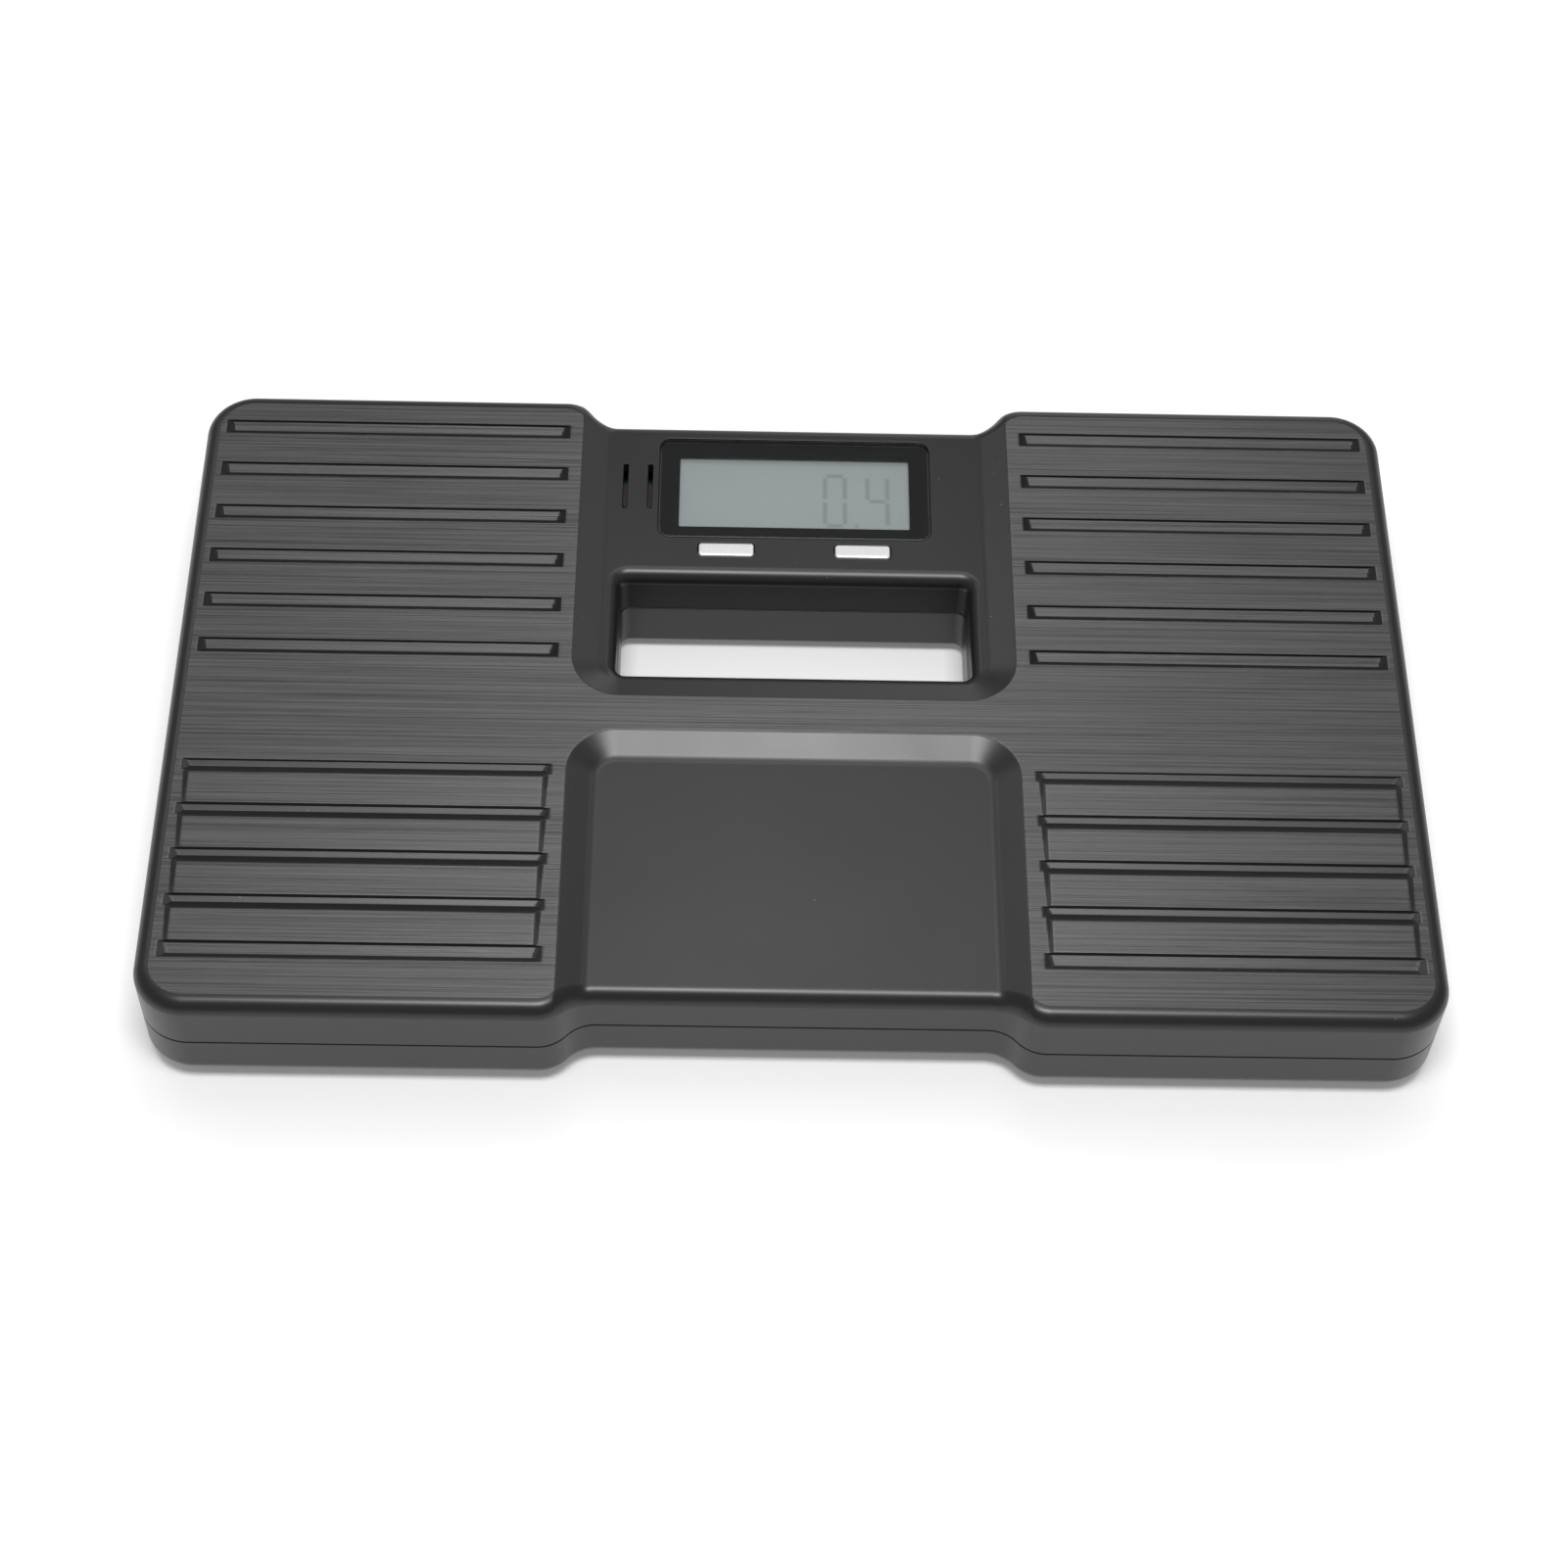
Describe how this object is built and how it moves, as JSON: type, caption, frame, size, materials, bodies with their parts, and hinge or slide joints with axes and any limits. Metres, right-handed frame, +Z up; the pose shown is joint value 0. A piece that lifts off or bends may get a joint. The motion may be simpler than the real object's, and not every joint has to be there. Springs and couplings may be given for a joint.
{
  "type": "bathroom scale",
  "caption": "Low digital bathroom scale: two grooved foot wings, a waisted middle with a sunk display console, a hand hole and a sunk front field, on round feet.",
  "frame": {"origin": "on the floor, under the middle of the scale", "axes": "+X to the user's right along the scale's width, +Y to the back where the display is, +Z up"},
  "size_m": [0.31, 0.1892, 0.0338],
  "materials": {
    "black_plastic": "fine brushed texture on the wings, satin elsewhere",
    "lens": "clear acrylic with a dark printed border",
    "screen": "grey-green liquid crystal",
    "silver": "silver paint on plastic",
    "white_plastic": "moulded",
    "rubber": "matte",
    "board": "green solder mask",
    "epoxy": "glossy resin",
    "steel": "zinc plated",
    "battery": "plain sleeve",
    "cable": "soft jacket",
    "red_wire": "soft jacket",
    "black_wire": "soft jacket"
  },
  "bodies": {
    "body": {"battery_back": "battery", "battery_front": "battery", "battery_link_plate": "steel", "battery_minus_tab": "steel", "battery_plus_tab": "steel", "battery_spring_back": "steel", "battery_spring_front": "steel", "battery_wire_minus": "black_wire", "battery_wire_plus": "red_wire", "board_screw_back_left": "steel", "board_screw_back_right": "steel", "board_screw_front_left": "steel", "board_screw_front_right": "steel", "bottom_cover": "black_plastic", "buzzer": "black_plastic", "case_screw_back_left": "steel", "case_screw_back_right": "steel", "case_screw_front_left": "steel", "case_screw_front_right": "steel", "case_screw_middle_left": "steel", "case_screw_middle_right": "steel", "cell_bracket_back_left": "white_plastic", "cell_bracket_back_right": "white_plastic", "cell_bracket_front_left": "white_plastic", "cell_bracket_front_right": "white_plastic", "chip_blob": "epoxy", "circuit_board": "board", "display_lens": "lens", "foot_back_left": "black_plastic", "foot_back_right": "black_plastic", "foot_front_left": "black_plastic", "foot_front_right": "black_plastic", "foot_pad_back_left": "rubber", "foot_pad_back_right": "rubber", "foot_pad_front_left": "rubber", "foot_pad_front_right": "rubber", "lcd_frame": "white_plastic", "lcd_glass": "screen", "load_cell_back_left": "steel", "load_cell_back_right": "steel", "load_cell_front_left": "steel", "load_cell_front_right": "steel", "load_cell_lead_back_left": "cable", "load_cell_lead_back_right": "cable", "load_cell_lead_front_left": "cable", "load_cell_lead_front_right": "cable", "tact_switch_left": "steel", "tact_switch_right": "steel", "top_cover": "black_plastic", "zebra_strip": "rubber"},
    "button_left": {"button_left": "silver", "tact_plunger_left": "black_plastic"},
    "button_right": {"button_right": "silver", "tact_plunger_right": "black_plastic"},
    "battery_door": {"battery_door": "black_plastic"}
  },
  "joints": [
    {"name": "button_left_press", "type": "slide", "parent": "body", "child": "button_left", "axis": [0, 0, -1], "range_m": [0, 0.0005], "stiffness_N_per_m": 2000},
    {"name": "button_right_press", "type": "slide", "parent": "body", "child": "button_right", "axis": [0, 0, -1], "range_m": [0, 0.0005], "stiffness_N_per_m": 2000},
    {"name": "battery_door_swing", "type": "hinge", "parent": "body", "child": "battery_door", "pos_m": [0, -0.0628, 0.003], "axis": [-1, 0, 0], "range_deg": [0, 75]}
  ]
}
